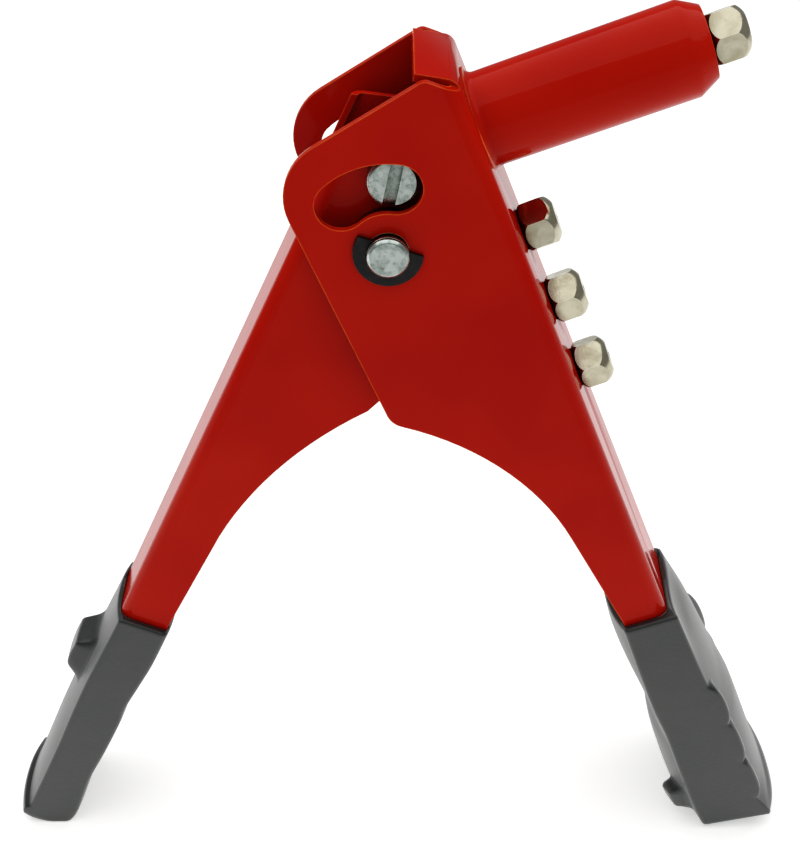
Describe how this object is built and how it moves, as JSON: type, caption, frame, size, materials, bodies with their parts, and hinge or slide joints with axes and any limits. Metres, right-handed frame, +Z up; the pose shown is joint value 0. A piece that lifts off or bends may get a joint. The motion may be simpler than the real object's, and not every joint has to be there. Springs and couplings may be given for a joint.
{
  "type": "hand riveter",
  "caption": "Lever-action blind riveter of folded red sheet steel, standing on its grips: fixed and moving lever, barrel with hexagon nosepiece, spare nosepieces and a jaw train.",
  "frame": {"origin": "centre of the footprint, on the plane that the two grip ends stand on", "axes": "+Z up, +X towards the nosepiece, +Y away from the near side plate; Y = 0 is the symmetry plane"},
  "size_m": [0.212, 0.04, 0.2203],
  "materials": {
    "red_enamel": "gloss enamel",
    "zinc_plate": "bright zinc",
    "nickel_plate": "bright nickel",
    "black_oxide": "black oxide",
    "bare_steel": "machined",
    "spring_steel": "drawn wire",
    "black_rubber": "satin moulded"
  },
  "bodies": {
    "fixed_frame": {"body_shell": "red_enamel", "fixed_grip": "black_rubber", "barrel": "red_enamel", "barrel_nut": "zinc_plate", "guide_bush": "bare_steel", "nosepiece_fitted": "nickel_plate", "nosepiece_spare_1": "nickel_plate", "nosepiece_spare_2": "nickel_plate", "nosepiece_spare_3": "nickel_plate", "pivot_pin": "zinc_plate", "pivot_clip_near": "black_oxide", "pivot_clip_far": "black_oxide", "pivot_spacer_near": "zinc_plate", "pivot_spacer_far": "zinc_plate", "return_spring": "spring_steel"},
    "handle": {"moving_handle": "red_enamel", "moving_grip": "black_rubber", "pivot_sleeve": "bare_steel", "pull_screw": "zinc_plate", "pull_nut": "zinc_plate", "pull_collar_near": "bare_steel", "pull_collar_far": "bare_steel"},
    "carriage": {"pull_tail": "bare_steel", "jaw_case": "bare_steel", "lock_nut": "bare_steel", "pusher_spring": "spring_steel"},
    "pusher": {"jaw_pusher": "bare_steel"},
    "jaw_a": {"jaw_1": "bare_steel"},
    "jaw_b": {"jaw_2": "bare_steel"},
    "jaw_c": {"jaw_3": "bare_steel"}
  },
  "joints": [
    {"name": "handle_pivot", "type": "hinge", "parent": "fixed_frame", "child": "handle", "pos_m": [0.00345, 0, 0.1762], "axis": [0, -1, 0], "range_deg": [0, 42], "stiffness_Nm_per_rad": 0.49, "springref_deg": -26.36},
    {"name": "carriage_slide", "type": "slide", "parent": "fixed_frame", "child": "carriage", "axis": [-0.9455, 0, -0.3256], "range_m": [0, 0.0102], "deforming": ["return_spring"]},
    {"name": "pusher_slide", "type": "slide", "parent": "carriage", "child": "pusher", "axis": [0.9455, 0, 0.3256], "range_m": [0, 0.00125], "deforming": ["pusher_spring"]},
    {"name": "jaw_a_slide", "type": "slide", "parent": "carriage", "child": "jaw_a", "axis": [0.842, 0, 0.5395], "range_m": [0, 0.0013]},
    {"name": "jaw_b_slide", "type": "slide", "parent": "carriage", "child": "jaw_b", "axis": [0.9572, -0.2044, 0.2048], "range_m": [0, 0.0013]},
    {"name": "jaw_c_slide", "type": "slide", "parent": "carriage", "child": "jaw_c", "axis": [0.9572, 0.2044, 0.2048], "range_m": [0, 0.0013]}
  ],
  "couplings": [
    {"joint": "carriage_slide", "follows": "handle_pivot", "m_per_rad": 0.013747},
    {"joint": "pusher_slide", "follows": "handle_pivot", "m_per_rad": 0.001637},
    {"joint": "jaw_a_slide", "follows": "handle_pivot", "m_per_rad": 0.0016846},
    {"joint": "jaw_b_slide", "follows": "handle_pivot", "m_per_rad": 0.0016846},
    {"joint": "jaw_c_slide", "follows": "handle_pivot", "m_per_rad": 0.0016846}
  ]
}
